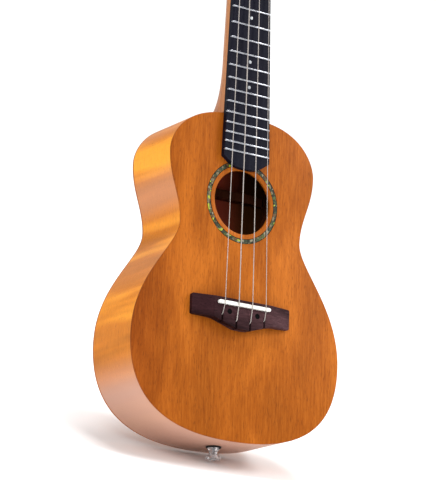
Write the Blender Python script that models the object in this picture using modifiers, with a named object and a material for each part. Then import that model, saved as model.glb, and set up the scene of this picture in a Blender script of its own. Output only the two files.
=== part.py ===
"""Concert ukulele, built as its separate wooden, bone, metal and nylon pieces.

Frame: +Z runs up the neck, the soundboard faces -Y, +X is the treble side seen from the front.
The origin is on the centre line, on the neck's top surface (which is also the soundboard's outer
surface), at the front edge of the nut where the open strings begin. Lengths below are millimetres.
"""
import math

import bmesh
import bpy
from mathutils import Matrix, Vector

MM = 0.001

# ---------------------------------------------------------------- driving dimensions
SCALE = 381.0            # open string length before compensation (15 inches)
FRETS = 18
JOIN_Z = -SCALE * (1 - 2 ** (-14 / 12))   # the body starts at the 14th fret
SADDLE_Z = -386.0
TAIL_Z = -505.0
DEPTH = 65.0             # outside of the top to outside of the back
PLATE = 2.0              # top, back and side thickness
GAP = 0.3                # glue and running clearance between neighbouring pieces

UPPER_HALF, UPPER_Z = 76.0, -255.0        # widest place of the upper bout
WAIST_HALF, WAIST_Z = 63.0, -318.0
LOWER_HALF, LOWER_Z = 108.0, -424.5

HOLE_Z, HOLE_R = -290.6, 29.0             # soundhole
ROSETTE_IN, ROSETTE_OUT = 33.1, 37.5

NUT_HALF = 17.25                          # neck half-width at the nut
NECK_TAPER = 0.0272                       # growth of the half-width for each mm down the neck
BOARD_T = 4.6                             # fretboard thickness
FRET_H = 1.0
NUT_L = 4.6
NUT_TOP = -7.3

STRING_SPREAD_NUT, STRING_SHIFT_NUT = 27.7, 0.8
STRING_SPREAD_SADDLE = 42.9
STRING_R = {"g": 0.36, "c": 0.51, "e": 0.41, "a": 0.31}
STRING_FLOOR_NUT = -6.2                   # underside of the strings over the nut
STRING_FLOOR_SADDLE = -10.95              # and over the saddle

BRIDGE_HALF = 51.0
BRIDGE_TOP_Z, BRIDGE_WING_Z, BRIDGE_TIP_Z = -381.3, -400.0, -407.5
BRIDGE_T, BRIDGE_END_T = 8.0, 3.8
BLOCK_HALF = 30.5

HEAD_TILT = math.radians(12.0)
HEAD_ORIGIN = (0.0, -1.2, NUT_L + 0.4)    # where the headstock's face plane starts, behind the nut
HEAD_WOOD_T = 11.0
VENEER_T = 1.2
HEAD_LENGTH = 104.0
POST_X = 15.0
POST_S = (36.0, 74.0)                     # lower and upper posts, measured up the headstock's face

GEAR_TEETH = 14
MODULE = 0.6
GEAR_R = MODULE * GEAR_TEETH / 2          # 4.2
WORM_R = 2.25
LEAD = math.pi * MODULE
CENTRES = GEAR_R + WORM_R

# ---------------------------------------------------------------- scene and helpers
for ob in list(bpy.data.objects):
    bpy.data.objects.remove(ob, do_unlink=True)
for coll in list(bpy.data.collections):
    bpy.data.collections.remove(coll)

PARTS = bpy.data.collections.new("concert_ukulele")
CUTTERS = bpy.data.collections.new("cutters")
bpy.context.scene.collection.children.link(PARTS)
bpy.context.scene.collection.children.link(CUTTERS)


def material(name, colour, rough, metal=0.0, trans=0.0):
    m = bpy.data.materials.new(name)
    m.use_nodes = True
    b = m.node_tree.nodes["Principled BSDF"]
    b.inputs["Base Color"].default_value = (*colour, 1.0)
    b.inputs["Roughness"].default_value = rough
    b.inputs["Metallic"].default_value = metal
    b.inputs["Transmission Weight"].default_value = trans
    return m


TOP_WOOD = ("mahogany_top", (0.47, 0.17, 0.045), 0.42)
SIDE_WOOD = ("mahogany_side", (0.52, 0.20, 0.06), 0.38)
NECK_WOOD = ("mahogany_neck", (0.38, 0.14, 0.06), 0.45)
PALE_WOOD = ("spruce_inside", (0.62, 0.42, 0.22), 0.7)
ROSEWOOD = ("rosewood", (0.055, 0.028, 0.030), 0.5)
EBONY = ("blackened_board", (0.018, 0.017, 0.022), 0.45)
BONE = ("bone", (0.86, 0.84, 0.78), 0.3)
NICKEL = ("nickel", (0.72, 0.72, 0.74), 0.25, 1.0)
CHROME = ("chrome", (0.80, 0.80, 0.82), 0.12, 1.0)
NYLON = ("clear_nylon", (0.80, 0.76, 0.70), 0.25)
SHELL = ("shell_mosaic", (0.30, 0.34, 0.22), 0.25)
BLACK = ("black_plastic", (0.02, 0.02, 0.02), 0.5)
FELT = ("black_felt", (0.012, 0.012, 0.012), 0.95)
CLEAR = ("clear_acrylic", (0.85, 0.86, 0.88), 0.08, 0.0, 0.8)


def finish(ob, mat, smooth=None):
    """Gives the piece its own material and puts it with the parts."""
    ob.data.materials.clear()
    ob.data.materials.append(material(ob.name + "_" + mat[0], *mat[1:]))
    if smooth is not None and ob.type == "MESH":
        ob.data.shade_smooth()
        ob.data.set_sharp_from_angle(angle=math.radians(smooth))
    return ob


def link(name, me, coll=PARTS, matrix=None):
    ob = bpy.data.objects.new(name, me)
    coll.objects.link(ob)
    if matrix is not None:
        ob.matrix_world = matrix
    return ob


def as_cutter(ob):
    ob.hide_render = True
    ob.display_type = "WIRE"
    return ob


def to_mesh(ob, name, coll=PARTS, keep_matrix=True):
    """Replaces a curve object with the mesh that it makes, its caps welded."""
    bpy.context.view_layer.update()
    dg = bpy.context.evaluated_depsgraph_get()
    me = bpy.data.meshes.new_from_object(ob.evaluated_get(dg))
    mw = ob.matrix_world.copy()
    bm = bmesh.new()
    bm.from_mesh(me)
    bmesh.ops.remove_doubles(bm, verts=bm.verts, dist=2e-6)
    bmesh.ops.recalc_face_normals(bm, faces=bm.faces)
    bm.to_mesh(me)
    bm.free()
    me.name = name
    bpy.data.objects.remove(ob, do_unlink=True)
    return link(name, me, coll, mw)


XZ = Matrix.Rotation(math.radians(90), 4, "X")     # local x, y, z -> world x, z, -y


def flat(name, loops, depth, matrix, coll=PARTS):
    """A prism: a filled 2D curve of one outer loop and its holes, centred on its thickness."""
    cu = bpy.data.curves.new(name, "CURVE")
    cu.dimensions = "2D"
    cu.fill_mode = "BOTH"
    cu.extrude = depth / 2 * MM
    for loop in loops:
        sp = cu.splines.new("POLY")
        sp.points.add(len(loop) - 1)
        for p, (a, b) in zip(sp.points, loop):
            p.co = (a * MM, b * MM, 0, 1)
        sp.use_cyclic_u = True
    ob = link(name + "_curve", cu, coll, matrix)
    return to_mesh(ob, name, coll)


def plate_xz(name, loops, y0, y1, coll=PARTS):
    """A flat piece lying between two Y planes, its outline in X and Z."""
    return flat(name, loops, y1 - y0, Matrix.Translation((0, (y0 + y1) / 2 * MM, 0)) @ XZ, coll)


def box(name, lo, hi, coll=PARTS, bevel=0.0):
    bm = bmesh.new()
    bmesh.ops.create_cube(bm, size=1.0)
    for v in bm.verts:
        v.co = Vector([(lo[i] + (v.co[i] + 0.5) * (hi[i] - lo[i])) * MM for i in range(3)])
    me = bpy.data.meshes.new(name)
    bm.to_mesh(me)
    bm.free()
    ob = link(name, me, coll)
    if bevel:
        m = ob.modifiers.new("edges", "BEVEL")
        m.width = bevel * MM
        m.segments = 1
    return ob


def rod(name, r, length, matrix, sides=24, coll=PARTS):
    """A cylinder along the matrix's local Z, centred."""
    bm = bmesh.new()
    bmesh.ops.create_cone(bm, cap_ends=True, segments=sides, radius1=r * MM, radius2=r * MM, depth=length * MM)
    me = bpy.data.meshes.new(name)
    bm.to_mesh(me)
    bm.free()
    return link(name, me, coll, matrix)


def turned(name, profile, steps, matrix, coll=PARTS):
    """A profile of (radius, height) pairs, closed on itself or ending on the axis, turned about local Z."""
    bm = bmesh.new()
    closed = profile[0][0] > 0
    vs = [bm.verts.new((r * MM, 0, h * MM)) for r, h in profile]
    for a, b in zip(vs, vs[1:]):
        bm.edges.new((a, b))
    if closed:
        bm.edges.new((vs[-1], vs[0]))
    me = bpy.data.meshes.new(name)
    bm.to_mesh(me)
    bm.free()
    ob = link(name, me, coll, matrix)
    s = ob.modifiers.new("turn", "SCREW")
    s.steps = s.render_steps = steps
    s.use_merge_vertices = True
    s.merge_threshold = 0.00001
    return ob


def boolean(ob, cutter, how="DIFFERENCE"):
    m = ob.modifiers.new(how.lower(), "BOOLEAN")
    m.operation = how
    m.object = cutter
    m.solver = "EXACT"
    as_cutter(cutter)
    return ob


def apply_all(ob):
    """Turns the object into the plain mesh that its modifiers make."""
    bpy.context.view_layer.update()
    dg = bpy.context.evaluated_depsgraph_get()
    me = bpy.data.meshes.new_from_object(ob.evaluated_get(dg))
    ob.modifiers.clear()
    ob.data = me
    return ob


# ---------------------------------------------------------------- body outline
def bezier(p0, p1, p2, p3, n):
    """n points of a cubic from p0, without its last one, each with its left-hand normal."""
    out = []
    for i in range(n):
        t = i / n
        u = 1 - t
        x = [u ** 3 * a + 3 * u * u * t * b + 3 * u * t * t * c + t ** 3 * d for a, b, c, d in zip(p0, p1, p2, p3)]
        d = [3 * u * u * (b - a) + 6 * u * t * (c - b) + 3 * t * t * (e - c) for a, b, c, e in zip(p0, p1, p2, p3)]
        k = math.hypot(*d)
        out.append((x[0], x[1], -d[1] / k, d[0] / k))
    return out


def half_outline(inset=0.0):
    """The treble half of the body's outline, from the neck to the tail, moved inwards by inset."""
    j = (14.0, JOIN_Z)
    u, w, lo, t = (UPPER_HALF, UPPER_Z), (WAIST_HALF, WAIST_Z), (LOWER_HALF, LOWER_Z), (0.0, TAIL_Z)
    pts = [(0.0, JOIN_Z, 0.0, 1.0)]
    pts += bezier(j, (j[0] + 47, j[1]), (u[0], u[1] + 15), u, 18)
    pts += bezier(u, (u[0], u[1] - 25.5), (w[0], w[1] + 23), w, 10)
    pts += bezier(w, (w[0], w[1] - 22), (lo[0], lo[1] + 53.5), lo, 15)
    pts += bezier(lo, (lo[0], lo[1] - 72), (t[0] + 45.5, t[1]), t, 25)
    pts.append((0.0, TAIL_Z, 0.0, -1.0))
    return [(x - nx * inset, z - nz * inset) for x, z, nx, nz in pts]


def full_outline(inset=0.0):
    h = half_outline(inset)
    return h + [(-x, z) for x, z in reversed(h[1:-1])]


def ring(r, n, cz=0.0):
    return [(r * math.cos(2 * math.pi * i / n), cz + r * math.sin(2 * math.pi * i / n)) for i in range(n)]


def board_half(z):
    """Half-width of the neck and the fretboard at a height."""
    return NUT_HALF - NECK_TAPER * z


# ---------------------------------------------------------------- top, back, sides
soundboard = plate_xz("soundboard", [full_outline(), ring(HOLE_R, 56, HOLE_Z)], 0.0, PLATE)
channel = plate_xz("rosette_channel", [ring(ROSETTE_OUT + GAP, 56, HOLE_Z), ring(ROSETTE_IN - GAP, 56, HOLE_Z)],
                   -1.0, 1.5, CUTTERS)
boolean(soundboard, channel)
finish(soundboard, TOP_WOOD)

rosette = plate_xz("rosette", [ring(ROSETTE_OUT, 56, HOLE_Z), ring(ROSETTE_IN, 56, HOLE_Z)], 0.0, 1.2)
finish(rosette, SHELL)

back_plate = plate_xz("back_plate", [full_outline()], DEPTH - PLATE, DEPTH)
finish(back_plate, SIDE_WOOD)


def strip(name, points, y0, y1, thick, side):
    """A bent strip: an upright ribbon along the points, thickened towards the inside of the body."""
    cu = bpy.data.curves.new(name, "CURVE")
    cu.dimensions = "2D"
    cu.fill_mode = "NONE"
    cu.extrude = (y1 - y0) / 2 * MM
    sp = cu.splines.new("POLY")
    sp.points.add(len(points) - 1)
    for p, (a, b) in zip(sp.points, points):
        p.co = (side * a * MM, b * MM, 0, 1)
    ob = link(name + "_curve", cu, PARTS, Matrix.Translation((0, (y0 + y1) / 2 * MM, 0)) @ XZ)
    bpy.context.view_layer.update()
    me = bpy.data.meshes.new_from_object(ob.evaluated_get(bpy.context.evaluated_depsgraph_get()))
    mw = ob.matrix_world.copy()
    bpy.data.objects.remove(ob, do_unlink=True)
    bm = bmesh.new()
    bm.from_mesh(me)
    bmesh.ops.remove_doubles(bm, verts=bm.verts, dist=2e-6)
    # all faces point out of the body, so that the thickness goes inwards
    mid = Vector((side * 40 * MM, -360 * MM, 0))
    votes = sum((f.normal.dot(f.calc_center_median() - mid) > 0) - (f.normal.dot(f.calc_center_median() - mid) < 0)
                for f in bm.faces)
    if votes < 0:
        bmesh.ops.reverse_faces(bm, faces=bm.faces)
    bm.to_mesh(me)
    bm.free()
    me.name = name
    out = link(name, me, PARTS, mw)
    s = out.modifiers.new("thickness", "SOLIDIFY")
    s.thickness = thick * MM
    s.offset = -1.0
    s.use_even_offset = True
    return out


def trimmed(points, neck_x, tail_x):
    """The stretch of a half outline that is clear of the neck block and the tail block."""
    return [(x, z) for x, z in points if (z > -300 and x > neck_x) or (z <= -300 and x > tail_x)]


side_points = half_outline()
side_points = [(0.15, JOIN_Z)] + side_points[1:-1] + [(0.15, TAIL_Z)]
for name, side in (("side_bass", -1), ("side_treble", 1)):
    finish(strip(name, side_points, PLATE + GAP, DEPTH - PLATE - GAP, PLATE, side), SIDE_WOOD, 40)

lining_points = trimmed(half_outline(PLATE + GAP + 0.6)[::2], 26.0, 24.0)
for name, side, y0, y1 in (("lining_top_bass", -1, 2.3, 8.3), ("lining_top_treble", 1, 2.3, 8.3),
                           ("lining_back_bass", -1, 56.7, 62.7), ("lining_back_treble", 1, 56.7, 62.7)):
    finish(strip(name, lining_points, y0, y1, 4.5, side), PALE_WOOD, 40)

# ---------------------------------------------------------------- blocks and braces inside
finish(box("neck_block", (-24, PLATE + GAP, -232), (24, DEPTH - PLATE - GAP, JOIN_Z - 2.7), bevel=1.0), NECK_WOOD)
finish(box("tail_block", (-22, PLATE + GAP, TAIL_Z + 3.6), (22, DEPTH - PLATE - GAP, TAIL_Z + 15), bevel=1.0), NECK_WOOD)


def brace(name, z, half, width, y_glue, height):
    """A cross brace, tapered to its ends, glued to the plate at y_glue and standing height into the body."""
    sign = 1 if height > 0 else -1
    low = 2.0 * sign
    n = 6
    top = []
    for i in range(n + 1):
        f = i / n
        top.append((half * (1 - 0.35 * f), y_glue + low + (height - low) * math.sin(f * math.pi / 2)))
    loop = [(half, y_glue)] + top + [(-x, y) for x, y in reversed(top)] + [(-half, y_glue)]
    ob = flat(name, [loop], width, Matrix.Translation((0, 0, z * MM)))
    return finish(ob, PALE_WOOD)


brace("top_brace_upper", -243, 58, 6, PLATE + GAP, 10)
brace("top_brace_lower", -334, 55, 6, PLATE + GAP, 10)
brace("back_brace_upper", -268, 62, 8, DEPTH - PLATE - GAP, -8)
brace("back_brace_lower", -420, 92, 8, DEPTH - PLATE - GAP, -8)
finish(box("bridge_plate", (-56, PLATE + GAP, -414), (56, PLATE + GAP + 1.6, -374)), PALE_WOOD)

# ---------------------------------------------------------------- headstock frame
HEAD = Matrix((
    (1, 0, 0, HEAD_ORIGIN[0] * MM),
    (0, math.sin(HEAD_TILT), -math.cos(HEAD_TILT), HEAD_ORIGIN[1] * MM),
    (0, math.cos(HEAD_TILT), math.sin(HEAD_TILT), HEAD_ORIGIN[2] * MM),
    (0, 0, 0, 1)))                        # local x across, y up the headstock, z out of its face


def head_at(x, s, h):
    return HEAD @ Matrix.Translation((x * MM, s * MM, h * MM))


def head_outline(start, inset=0.0):
    """The headstock seen from its face: it flares from the nut, narrows slightly, and has a shallow crown."""
    half = []
    a, b, c, d = (NUT_HALF, start), (27.5, 26.0), (26.5, 66.0), (29.0, 95.0)
    for p0, p1, p2, p3, n in ((a, (NUT_HALF + 0.6, 12.0), (24.5, 17.0), b, 6),
                              (b, (29.0, 36.0), (26.6, 54.0), c, 5),
                              (c, (26.4, 76.0), (27.6, 86.0), d, 4),
                              (d, (29.6, 99.5), (26.0, 101.2), (21.0, 101.4), 4),
                              ((21.0, 101.4), (13.0, 101.6), (9.0, HEAD_LENGTH), (0.0, HEAD_LENGTH), 6)):
        half += [(x - nx * inset, z - nz * inset) for x, z, nx, nz in bezier(p0, p1, p2, p3, n)]
    return half + [(0.0, HEAD_LENGTH - inset)] + [(-x, z) for x, z in reversed(half)]


# ---------------------------------------------------------------- neck, heel and headstock in one piece
def neck_mesh():
    """A loft of D-shaped sections: (height, depth behind the top plane, front plane, fullness, edge step)."""
    def depth_at(z):
        d = 15.5 + 3.0 * min(1.0, max(0.0, -z / 150.0))
        if z < -158:
            f = min(1.0, (-158 - z) / (211.0 - 158))
            d += (61.5 - d) * (1 - math.sqrt(max(0.0, 1 - f ** 2.6)))
        return d

    def half_at(z):
        return board_half(min(z, 0.0))

    stations = [(18.0, 3.6, 14.0)]
    stations += [(12.0, 2.2, 14.6), (5.0, 0.35, 15.4)]
    stations += [(4.6, 0.0, 15.5)]
    stations += [(z, 0.0, depth_at(z)) for z in (-10, -40, -80, -120, -150, -160, -168, -175, -182, -188, -193, -197,
                                                 -200.5, -203.5, -206, -208, -209.5, -210.5)]
    stations += [(JOIN_Z + GAP, 0.0, depth_at(-211.0))]
    n = 9
    bm = bmesh.new()
    rings = []
    for z, y0, d in stations:
        w = half_at(z)
        heel = min(1.0, max(0.0, (d - 20.0) / 40.0))
        pts = [(-w, y0)]
        for i in range(1, 2 * n):
            a = math.pi * i / (2 * n)
            c, s = math.cos(a), math.sin(a)
            ex = 0.80 + 0.55 * heel          # the shaft is full, the heel narrows to a rounded keel
            x = -w * math.copysign(abs(c) ** ex, c)
            y = y0 + 1.5 + (d - 1.5 - y0) * abs(s) ** (0.90 - 0.18 * heel)
            pts.append((x, y))
        pts.append((w, y0))
        rings.append([bm.verts.new((x * MM, y * MM, z * MM)) for x, y in pts])
    for r0, r1 in zip(rings, rings[1:]):
        for i in range(len(r0)):
            k = (i + 1) % len(r0)
            bm.faces.new((r0[i], r0[k], r1[k], r1[i]))
    bm.faces.new(rings[0])
    bm.faces.new(list(reversed(rings[-1])))
    bmesh.ops.recalc_face_normals(bm, faces=bm.faces)
    me = bpy.data.meshes.new("neck")
    bm.to_mesh(me)
    bm.free()
    return me


neck = link("neck", neck_mesh())
slab_t = HEAD_WOOD_T
slab = flat("headstock_slab", [head_outline(0.6)], slab_t, head_at(0, 0, -(VENEER_T + GAP) - slab_t / 2), CUTTERS)
boolean(neck, slab, "UNION")
for i, (sx, s) in enumerate((sx, s) for sx in (-1, 1) for s in POST_S):
    hole = rod("post_hole_%d" % i, 4.0, 40, head_at(sx * POST_X, s, -8), 16, CUTTERS)
    boolean(neck, hole)
finish(neck, NECK_WOOD)

veneer = flat("headstock_veneer", [head_outline(0.6, 0.0)], VENEER_T, head_at(0, 0, -VENEER_T / 2))
for i in range(4):
    boolean(veneer, bpy.data.objects["post_hole_%d" % i])
finish(veneer, ROSEWOOD)

# ---------------------------------------------------------------- fretboard and frets
def fret_z(n):
    return -SCALE * (1 - 2 ** (-n / 12))


BOARD_BACK = -GAP
BOARD_FRONT = -GAP - BOARD_T
END_Z = -252.0


def board_end():
    """The board's lower end, from its treble corner to its bass corner: chamfers and a shallow centre lobe."""
    half = [(board_half(END_Z), END_Z), (15.8, -257.9), (14.6, -258.3)]
    for i in range(1, 7):
        a = i / 6 * math.pi / 2
        half.append((13.6 * math.cos(a), -258.9 - 2.5 * math.sin(a)))
    return half + [(-x, z) for x, z in reversed(half[:-1])]


TANG_W, TANG_D, CROWN_W = 0.6, 1.6, 1.7
comb = [(-GAP, BOARD_BACK), (-GAP, BOARD_FRONT)]
for n in range(1, FRETS + 1):
    z = fret_z(n)
    w = TANG_W / 2 + GAP
    comb += [(z + w, BOARD_FRONT), (z + w, BOARD_FRONT + TANG_D + GAP), (z - w, BOARD_FRONT + TANG_D + GAP), (z - w, BOARD_FRONT)]
comb += [(-270.0, BOARD_FRONT), (-270.0, BOARD_BACK)]
# local x runs along world Z, local y along world Y, and the thickness along world -X
ALONG = Matrix(((0, 0, -1, 0), (0, 1, 0, 0), (1, 0, 0, 0), (0, 0, 0, 1)))
fretboard = flat("fretboard", [comb], 70.0, ALONG)
outline_cut = plate_xz("fretboard_outline", [[(-board_half(0), 1.0), (board_half(0), 1.0)] + board_end()], -12, 8, CUTTERS)
boolean(fretboard, outline_cut, "INTERSECT")
finish(fretboard, EBONY)

for n in range(1, FRETS + 1):
    z = fret_z(n)
    half = board_half(z) - 0.15
    top = BOARD_FRONT - 0.1
    prof = [(-TANG_W / 2, BOARD_FRONT + TANG_D), (-TANG_W / 2, top), (-CROWN_W / 2, top), (-CROWN_W / 2, top - 0.25)]
    prof += [(-CROWN_W / 2 * math.cos(a), top - 0.25 - (FRET_H - 0.25) * math.sin(a)) for a in
             (math.pi * k / 6 for k in range(1, 6))]
    prof += [(CROWN_W / 2, top - 0.25), (CROWN_W / 2, top), (TANG_W / 2, top), (TANG_W / 2, BOARD_FRONT + TANG_D)]
    ob = flat("fret_%02d" % n, [prof], 2 * half, Matrix.Translation((0, 0, z * MM)) @ ALONG)
    # the fret's ends are filed back towards its crown
    for v in ob.data.vertices:
        if v.co.y < (top - 0.2) * MM:
            v.co.z -= math.copysign(0.45 * ((top - 0.2) * MM - v.co.y), v.co.z)
    finish(ob, NICKEL)

# ---------------------------------------------------------------- strings, nut, saddle
NAMES = ("g", "c", "e", "a")


def string_x(i, z):
    """Where string i (0 is the bass side) crosses a height between the nut and the saddle."""
    f = z / SADDLE_Z
    spread = STRING_SPREAD_NUT + (STRING_SPREAD_SADDLE - STRING_SPREAD_NUT) * f
    return (i - 1.5) / 3 * spread + STRING_SHIFT_NUT * (1 - f)


SLOT_Z = (-394.5, -398.5, -398.5, -394.5)
SLOT_END_X = (-21.9, -7.2, 7.2, 21.9)
nut = box("nut", (-NUT_HALF, NUT_TOP, 0.0), (NUT_HALF, -GAP, NUT_L), bevel=0.5)
for i, k in enumerate(NAMES):
    r = STRING_R[k]
    x = string_x(i, 0)
    boolean(nut, box("nut_slot_" + k, (x - r - 0.3, NUT_TOP - 2, -1), (x + r + 0.3, STRING_FLOOR_NUT + 0.12, NUT_L + 1), CUTTERS))
finish(nut, BONE)


def pill(half, r, z, n=6):
    pts = []
    for i in range(n + 1):
        a = -math.pi / 2 + math.pi * i / n
        pts.append((half - r + r * math.cos(a), z + r * math.sin(a)))
    return pts + [(-x, 2 * z - q) for x, q in pts]


saddle = plate_xz("saddle", [pill(27.2, 1.5, SADDLE_Z)], -10.7, -5.3)
b = saddle.modifiers.new("crown", "BEVEL")
b.width = 0.0007
b.segments = 2
b.limit_method = "ANGLE"
b.angle_limit = math.radians(60)
finish(saddle, BONE)

# ---------------------------------------------------------------- bridge
out = [(BRIDGE_HALF - 1.0, BRIDGE_TOP_Z), (BRIDGE_HALF, BRIDGE_TOP_Z - 1.2), (BRIDGE_HALF, BRIDGE_WING_Z + 1.6),
       (BRIDGE_HALF - 1.0, BRIDGE_WING_Z + 0.5)]
out += [(33.0, BRIDGE_WING_Z), (29.5, BRIDGE_WING_Z - 0.4), (26.0, BRIDGE_WING_Z - 1.3), (10.5, BRIDGE_TIP_Z + 1.2),
        (7.5, BRIDGE_TIP_Z + 0.35), (4.5, BRIDGE_TIP_Z)]
bridge = plate_xz("bridge", [out + [(-x, z) for x, z in reversed(out)]], -GAP - BRIDGE_T, -GAP)
side_view = [(BRIDGE_HALF + 3, 2.0), (BRIDGE_HALF + 3, -GAP - BRIDGE_END_T + 0.6), (BLOCK_HALF + 1.2, -GAP - BRIDGE_T + 0.5),
             (BLOCK_HALF - 2.6, -GAP - BRIDGE_T - 0.8)]
shape = flat("bridge_height", [side_view + [(-x, y) for x, y in reversed(side_view)]], 60,
             Matrix.Translation((0, 0, -394 * MM)), CUTTERS)
boolean(bridge, shape, "INTERSECT")
boolean(bridge, plate_xz("saddle_slot", [pill(27.5, 1.8, SADDLE_Z)], -12, -5.0, CUTTERS))
for i, k in enumerate(NAMES):
    x = SLOT_END_X[i]
    boolean(bridge, box("bridge_slot_" + k, (x - 0.95, -12, -412), (x + 0.95, -2.3, SLOT_Z[i]), CUTTERS))
for side, word in ((-1, "bass"), (1, "treble")):
    place = Matrix.Translation((side * 14.5 * MM, -8.3 * MM, -393.2 * MM)) @ XZ
    boolean(bridge, rod("cap_recess_" + word, 2.5, 2.4, place, 20, CUTTERS))
finish(bridge, ROSEWOOD)
for side, word in ((-1, "bass"), (1, "treble")):
    place = Matrix.Translation((side * 14.5 * MM, -7.8 * MM, -393.2 * MM)) @ XZ
    cap = rod("bridge_bolt_cap_" + word, 2.2, 0.8, place, 20)
    finish(cap, BLACK, 40)

# ---------------------------------------------------------------- strings
POSTS = {"g": (-1, 0), "c": (-1, 1), "e": (1, 1), "a": (1, 0)}      # side of the headstock, lower or upper post
for i, k in enumerate(NAMES):
    r = STRING_R[k]
    side, level = POSTS[k]
    yn, ys = STRING_FLOOR_NUT - r, STRING_FLOOR_SADDLE - r
    xs, xe, xn = string_x(i, SADDLE_Z), SLOT_END_X[i], string_x(i, 0)
    zs = SLOT_Z[i]
    route = [Vector((xe, -3.5 - r, zs - 4.2 - r)), Vector((xe, -6.2, zs - 2.4 - r)), Vector((xe, -8.5 - r, zs - 0.5 - r)),
             Vector((xs + (xe - xs) * 0.25, ys + 0.6, SADDLE_Z - 2.9)), Vector((xs, ys + 0.03, SADDLE_Z - 1.5)),
             Vector((xs, ys, SADDLE_Z + 0.4))]
    m = 6
    for q in range(1, m):
        f = q / m
        z = SADDLE_Z * (1 - f)
        route.append(Vector((string_x(i, z), ys + (yn - ys) * f, z)))
    route += [Vector((xn, yn, 0.3)), Vector((xn, yn, NUT_L - 0.4))]
    # from the nut the string drops to the inner side of its post
    post = HEAD.inverted() @ (Vector((xn, yn + 0.1, NUT_L + 0.4)) * MM) / MM
    s_post = POST_S[level]
    end = Vector((side * (POST_X - 3.0 - r - 0.25), s_post - 1.0, 4.6))
    for f in (0.02, 0.5, 1.0):
        route.append((HEAD @ ((post + (end - post) * f) * MM)) / MM)
    cu = bpy.data.curves.new("string_" + k, "CURVE")
    cu.dimensions = "3D"
    cu.bevel_depth = r * MM
    cu.bevel_resolution = 1
    cu.use_fill_caps = True
    sp = cu.splines.new("POLY")
    sp.points.add(len(route) - 1)
    for p, c in zip(sp.points, route):
        p.co = (*(c * MM), 1)
    ob = to_mesh(link("string_%s_curve" % k, cu), "string_" + k)
    finish(ob, NYLON, 50)

# ---------------------------------------------------------------- strap button and its washer
DOWN = Matrix.Translation((0, 32.5 * MM, TAIL_Z * MM)) @ Matrix.Rotation(math.pi, 4, "X")   # local z points down
washer = turned("strap_washer", [(6.8, 1.3), (6.8, 0.3), (2.4, 0.3), (2.4, 1.3)], 20, DOWN)
finish(washer, FELT, 40)
button_profile = [(2.3, 8.0), (3.8, 12.0), (5.2, 12.0), (6.3, 11.6), (6.9, 10.6), (6.7, 9.4), (5.4, 8.3), (3.9, 7.0),
                  (3.5, 5.4), (3.9, 3.8), (5.2, 3.0), (5.5, 2.2), (5.3, 1.6), (2.3, 1.6)]
strap_button = turned("strap_button", button_profile, 20, DOWN)
finish(strap_button, CLEAR, 50)

# ---------------------------------------------------------------- tuning machines
PLATE_BACK = -(VENEER_T + GAP + HEAD_WOOD_T) - GAP          # the tuner plate's face towards the wood
PLATE_T = 1.2
GEAR_T = 3.0
GEAR_H = PLATE_BACK - PLATE_T - 3.05      # middle plane of the gear and the worm, the thread just clear of the plate
THREAD_HALF = 3.2


def tuner_plate(name, side, s):
    """The base plate with the two ears that carry the worm's shaft."""
    def b(nm, lo, hi, bev=0.0):
        xs = sorted((side * lo[0], side * hi[0]))
        ob = box(nm, (xs[0], lo[1], lo[2]), (xs[1], hi[1], hi[2]), CUTTERS, bev)
        ob.matrix_world = head_at(side * POST_X, s, 0)
        return ob
    loop = []
    for cx, cs, a0 in ((9.6, 9.8, 0), (-6.4, 9.8, 90), (-6.4, -5.6, 180), (9.6, -5.6, 270)):
        for k in range(3):
            a = math.radians(a0 + 45 * k)
            loop.append((side * (cx + 2.2 * math.cos(a)), cs + 2.2 * math.sin(a)))
    plate = flat(name, [loop], PLATE_T, head_at(side * POST_X, s, PLATE_BACK - PLATE_T / 2))
    top = PLATE_BACK - 0.2
    low = GEAR_H - 2.7
    for q, (x0, x1) in enumerate(((3.8, 5.8), (-5.8, -3.8))):
        boolean(plate, b("%s_ear_%d" % (name, q), (x0, CENTRES - 2.8, low), (x1, CENTRES + 2.8, top)), "UNION")
    boolean(plate, rod(name + "_post_bore", 3.3, 10, head_at(side * POST_X, s, PLATE_BACK), 16, CUTTERS))
    boolean(plate, rod(name + "_worm_bore", 1.8, 30, head_at(side * POST_X, s + CENTRES, GEAR_H)
                       @ Matrix.Rotation(math.radians(90), 4, "Y"), 12, CUTTERS))
    return finish(plate, CHROME)


def gear_post(name, side, s):
    """A worm wheel with the string post standing on it; the origin is on the post's axis."""
    bm = bmesh.new()
    lead_angle = LEAD / (2 * math.pi * WORM_R)
    levels = []
    for h in (-GEAR_T / 2, GEAR_T / 2):
        twist = lead_angle * h / GEAR_R
        loop = []
        for t in range(GEAR_TEETH):
            mid = math.pi / 2 + 2 * math.pi * t / GEAR_TEETH + twist
            for r, wide in ((3.45, 1.02), (4.75, 0.44)):
                loop.append((r, mid - wide / 2 / r))
            for r, wide in ((4.75, 0.44), (3.45, 1.02)):
                loop.append((r, mid + wide / 2 / r))
        levels.append([bm.verts.new((r * math.cos(a) * MM, r * math.sin(a) * MM, h * MM)) for r, a in loop])
    lo, hi = levels
    for i in range(len(lo)):
        k = (i + 1) % len(lo)
        bm.faces.new((lo[i], lo[k], hi[k], hi[i]))
    bm.faces.new(hi)
    bm.faces.new(list(reversed(lo)))
    bmesh.ops.recalc_face_normals(bm, faces=bm.faces)
    me = bpy.data.meshes.new(name)
    bm.to_mesh(me)
    bm.free()
    ob = link(name, me, PARTS, head_at(side * POST_X, s, GEAR_H))
    up = -GEAR_H
    profile = [(0.0, up + 11.0), (2.5, up + 11.0), (3.0, up + 10.5), (3.0, up + 8.2), (2.55, up + 6.6), (2.55, up + 5.0),
               (3.0, up + 3.4), (3.0, -1.0), (2.4, -GEAR_T / 2 - 0.9), (0.0, -GEAR_T / 2 - 0.9)]
    post = turned(name + "_shaft", profile, 16, head_at(side * POST_X, s, GEAR_H), CUTTERS)
    boolean(ob, post, "UNION")
    return finish(ob, CHROME)


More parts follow.
